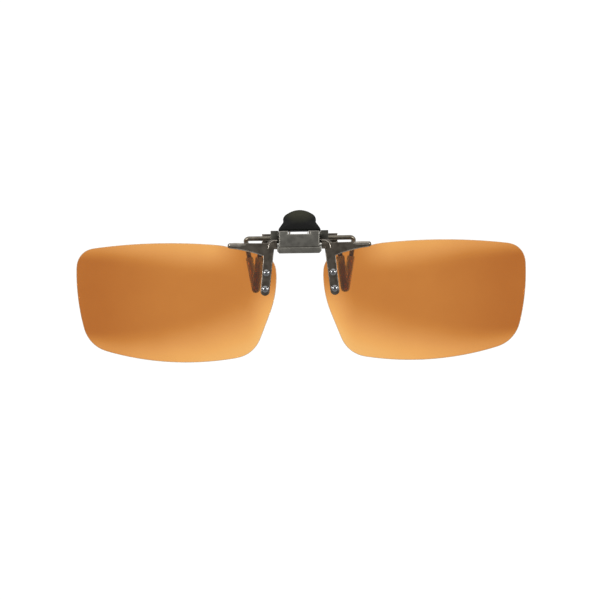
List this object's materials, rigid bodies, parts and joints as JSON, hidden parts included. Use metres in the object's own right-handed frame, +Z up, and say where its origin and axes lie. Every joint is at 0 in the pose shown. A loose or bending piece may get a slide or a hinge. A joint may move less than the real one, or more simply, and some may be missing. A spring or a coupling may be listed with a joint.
{
  "type": "clip-on flip lenses",
  "caption": "Rimless tinted lenses on a flip-up shaft in a small bridge box, with a sprung thumb lever whose sleeved claws clip the lenses to a pair of spectacles.",
  "frame": {"origin": "middle of the grip: on the middle plane, halfway between the front and rear claws, halfway up their sleeves", "axes": "+X along the lenses' width, to the right of someone who looks at the front; +Y to the rear, towards the wearer's face; +Z up, with the lenses hanging down"},
  "size_m": [0.1348, 0.0116, 0.0452],
  "materials": {
    "gunmetal": "satin gunmetal plating",
    "black_steel": "satin black plating",
    "bright_steel": "drawn steel",
    "lens_tint": "polished amber brown tint, see-through",
    "gloss_black": "gloss black nickel",
    "clear_nylon": "clear nylon",
    "black_rubber": "matte moulded rubber",
    "smoke_vinyl": "soft dark vinyl"
  },
  "bodies": {
    "clip_base": {"bridge_housing": "gunmetal", "front_cover": "gunmetal", "detent_spring": "bright_steel", "lever_spring": "bright_steel", "front_claw_left": "black_steel", "front_claw_right": "black_steel", "front_claw_sleeve_left": "smoke_vinyl", "front_claw_sleeve_right": "smoke_vinyl"},
    "lens_unit": {"flip_shaft": "bright_steel", "detent_cam": "bright_steel", "lens_bracket_left": "black_steel", "lens_bracket_right": "black_steel", "lens_left": "lens_tint", "lens_right": "lens_tint", "lens_rivets_left": "gloss_black", "lens_rivets_right": "gloss_black", "lens_washers_left": "clear_nylon", "lens_washers_right": "clear_nylon"},
    "thumb_lever": {"lever_plate": "black_steel", "thumb_pad": "black_rubber", "axle_tube": "bright_steel", "rear_claw_left": "black_steel", "rear_claw_right": "black_steel", "rear_claw_sleeve_left": "smoke_vinyl", "rear_claw_sleeve_right": "smoke_vinyl"}
  },
  "joints": [
    {"name": "lens_flip", "type": "hinge", "parent": "clip_base", "child": "lens_unit", "pos_m": [0, -0.0063, 0.0096], "axis": [-1, 0, 0], "range_deg": [0, 90], "deforming": ["detent_spring"]},
    {"name": "jaw_open", "type": "hinge", "parent": "clip_base", "child": "thumb_lever", "pos_m": [0, -0.0031, 0.0117], "axis": [1, 0, 0], "range_deg": [0, 25], "stiffness_Nm_per_rad": 0.04, "springref_deg": -14.32}
  ]
}
